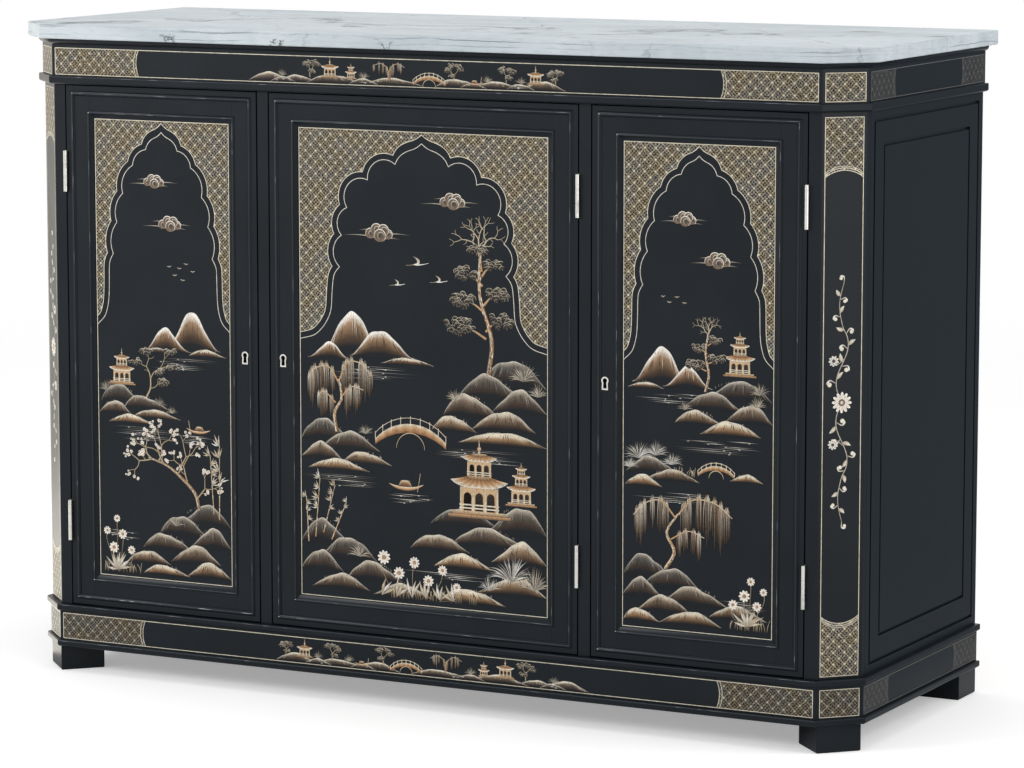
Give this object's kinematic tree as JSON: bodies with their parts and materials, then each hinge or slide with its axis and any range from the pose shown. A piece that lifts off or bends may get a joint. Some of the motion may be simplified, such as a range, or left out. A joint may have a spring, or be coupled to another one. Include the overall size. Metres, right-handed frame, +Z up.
{
  "type": "three-door cabinet",
  "caption": "Lacquered chinoiserie cabinet with canted corners, hinged doors with locks, shelves inside, block feet and a marble top.",
  "frame": {"origin": "on the floor, under the middle of the marble slab", "axes": "+X to the right as seen from the front, +Y towards the back, +Z up; the doors face -Y"},
  "size_m": [1.43, 0.527, 1.016],
  "materials": {
    "marble": "honed",
    "lacquer": "satin black lacquer",
    "interior": "dark stain",
    "backing": "stained board",
    "nickel": "polished nickel",
    "steel": "brushed"
  },
  "bodies": {
    "case": {"marble_top": "marble", "top_board": "interior", "bottom_board": "interior", "cornice_moulding": "lacquer", "frieze_front": "lacquer", "frieze_cants": "lacquer", "frieze_sides": "lacquer", "waist_moulding": "lacquer", "front_left_post": "lacquer", "front_right_post": "lacquer", "mullions": "lacquer", "partitions": "interior", "left_side_frame": "lacquer", "left_side_panel": "lacquer", "right_side_frame": "lacquer", "right_side_panel": "lacquer", "back_panel": "backing", "side_shelves": "interior", "middle_shelf": "interior", "shelf_battens": "interior", "door_stops": "interior", "plinth_front": "lacquer", "plinth_cants": "lacquer", "plinth_sides": "lacquer", "plinth_back": "backing", "plinth_top_moulding": "lacquer", "plinth_foot_moulding": "lacquer", "front_feet": "lacquer", "back_feet": "lacquer", "hinge_frame_leaves": "nickel", "hinge_pins": "nickel"},
    "left_door": {"left_door_stiles": "lacquer", "left_door_rails": "lacquer", "left_door_panel": "lacquer", "left_door_edge_bead": "lacquer", "left_door_panel_moulding": "lacquer", "left_door_hinge_leaves": "nickel", "left_door_escutcheon": "nickel", "left_door_lock_case": "steel"},
    "middle_door": {"middle_door_stiles": "lacquer", "middle_door_rails": "lacquer", "middle_door_panel": "lacquer", "middle_door_edge_bead": "lacquer", "middle_door_panel_moulding": "lacquer", "middle_door_hinge_leaves": "nickel", "middle_door_escutcheon": "nickel", "middle_door_lock_case": "steel"},
    "right_door": {"right_door_stiles": "lacquer", "right_door_rails": "lacquer", "right_door_panel": "lacquer", "right_door_edge_bead": "lacquer", "right_door_panel_moulding": "lacquer", "right_door_hinge_leaves": "nickel", "right_door_escutcheon": "nickel", "right_door_lock_case": "steel"},
    "left_bolt": {"left_door_lock_bolt": "steel"},
    "middle_bolt": {"middle_door_lock_bolt": "steel"},
    "right_bolt": {"right_door_lock_bolt": "steel"}
  },
  "joints": [
    {"name": "left_door_hinge", "type": "hinge", "parent": "case", "child": "left_door", "pos_m": [-0.62246, -0.24205, 0.5155], "axis": [0, 0, -1], "range_deg": [0, 165]},
    {"name": "middle_door_hinge", "type": "hinge", "parent": "case", "child": "middle_door", "pos_m": [0.26046, -0.24205, 0.5155], "axis": [0, 0, 1], "range_deg": [0, 105]},
    {"name": "right_door_hinge", "type": "hinge", "parent": "case", "child": "right_door", "pos_m": [0.62246, -0.24205, 0.5155], "axis": [0, 0, 1], "range_deg": [0, 165]},
    {"name": "left_bolt_slide", "type": "slide", "parent": "left_door", "child": "left_bolt", "axis": [1, 0, 0], "range_m": [0, 0.008]},
    {"name": "middle_bolt_slide", "type": "slide", "parent": "middle_door", "child": "middle_bolt", "axis": [-1, 0, 0], "range_m": [0, 0.008]},
    {"name": "right_bolt_slide", "type": "slide", "parent": "right_door", "child": "right_bolt", "axis": [-1, 0, 0], "range_m": [0, 0.008]}
  ]
}
